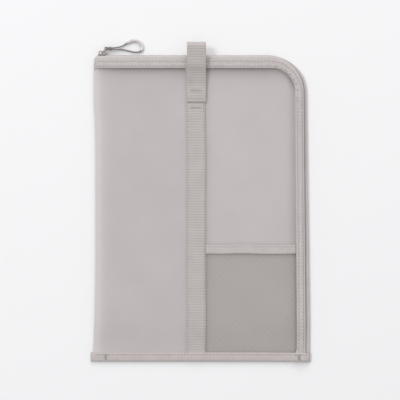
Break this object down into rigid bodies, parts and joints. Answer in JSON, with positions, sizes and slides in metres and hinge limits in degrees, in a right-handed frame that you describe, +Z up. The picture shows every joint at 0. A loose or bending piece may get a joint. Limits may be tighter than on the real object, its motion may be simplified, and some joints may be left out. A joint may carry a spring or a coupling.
{
  "type": "mesh travel document case",
  "caption": "Flat zipped mesh travel case with a rounded corner, bound bottom edge, webbing with a hanging loop, mesh slip pocket and corded zip pull.",
  "frame": {"origin": "under the middle of the bottom binding, on the surface the case lies on, halfway between the fold and the zipped right edge", "axes": "+X from the fold to the zipped side, +Y from the bound bottom edge to the zipped top edge and hanging loop, +Z up through the case, away from its back"},
  "size_m": [0.1695, 0.249, 0.0142],
  "materials": {
    "mesh": "fine woven nylon mesh, satin",
    "zip_tape": "smooth woven polyester tape",
    "coil": "nylon coil",
    "seam_tape": "twill-woven tape",
    "webbing": "ribbed woven webbing",
    "binding": "plain woven binding tape",
    "slider": "die-cast, painted to match",
    "ring": "wire, painted to match",
    "cord": "braided polyester cord",
    "sleeve": "soft translucent tube",
    "thread": "spun polyester thread"
  },
  "bodies": {
    "case_back": {"back_panel": "mesh", "spine_fold": "mesh", "front_panel": "mesh", "pocket_panel": "mesh", "pocket_hem": "binding", "back_zip_tape": "zip_tape", "front_zip_tape_ends": "zip_tape", "back_coil": "coil", "front_coil_ends": "coil", "zip_top_stops": "coil", "zip_bottom_stop": "coil", "front_seam_tape_ends": "seam_tape", "back_seam_tape": "seam_tape", "bottom_binding": "binding", "centre_webbing": "webbing", "binding_bartacks": "thread"},
    "flap": {"front_panel_flap": "mesh", "pocket_panel_flap": "mesh", "pocket_hem_flap": "binding", "front_zip_tape": "zip_tape", "front_coil": "coil", "front_seam_tape": "seam_tape", "centre_webbing_upper": "webbing", "loop_sewn_ends": "webbing", "loop_bartack": "thread", "webbing_bartack": "thread"},
    "loop": {"hanging_loop": "webbing"},
    "slider": {"zip_slider": "slider"},
    "puller": {"puller_ring": "ring"},
    "cord_pull": {"pull_cord": "cord", "cord_sleeve": "sleeve", "cord_knot": "cord"}
  },
  "joints": [
    {"name": "flap_open", "type": "hinge", "parent": "case_back", "child": "flap", "pos_m": [-0.066, 0.2322, 0.00725], "axis": [0.5482, -0.8363, 0], "range_deg": [0, 120]},
    {"name": "loop_swing", "type": "hinge", "parent": "flap", "child": "loop", "pos_m": [-0.0048, 0.2072, 0.00895], "axis": [1, 0, 0], "range_deg": [0, 150]},
    {"name": "zip_slide", "type": "slide", "parent": "case_back", "child": "slider", "axis": [1, 0, 0], "range_m": [0, 0.12]},
    {"name": "puller_swing", "type": "hinge", "parent": "slider", "child": "puller", "pos_m": [-0.07725, 0.2342, 0.00345], "axis": [0, 0, 1], "range_deg": [-2, 105]},
    {"name": "cord_swing", "type": "hinge", "parent": "puller", "child": "cord_pull", "pos_m": [-0.074, 0.23745, 0.00345], "axis": [0, 0, 1], "range_deg": [0, 50]}
  ]
}
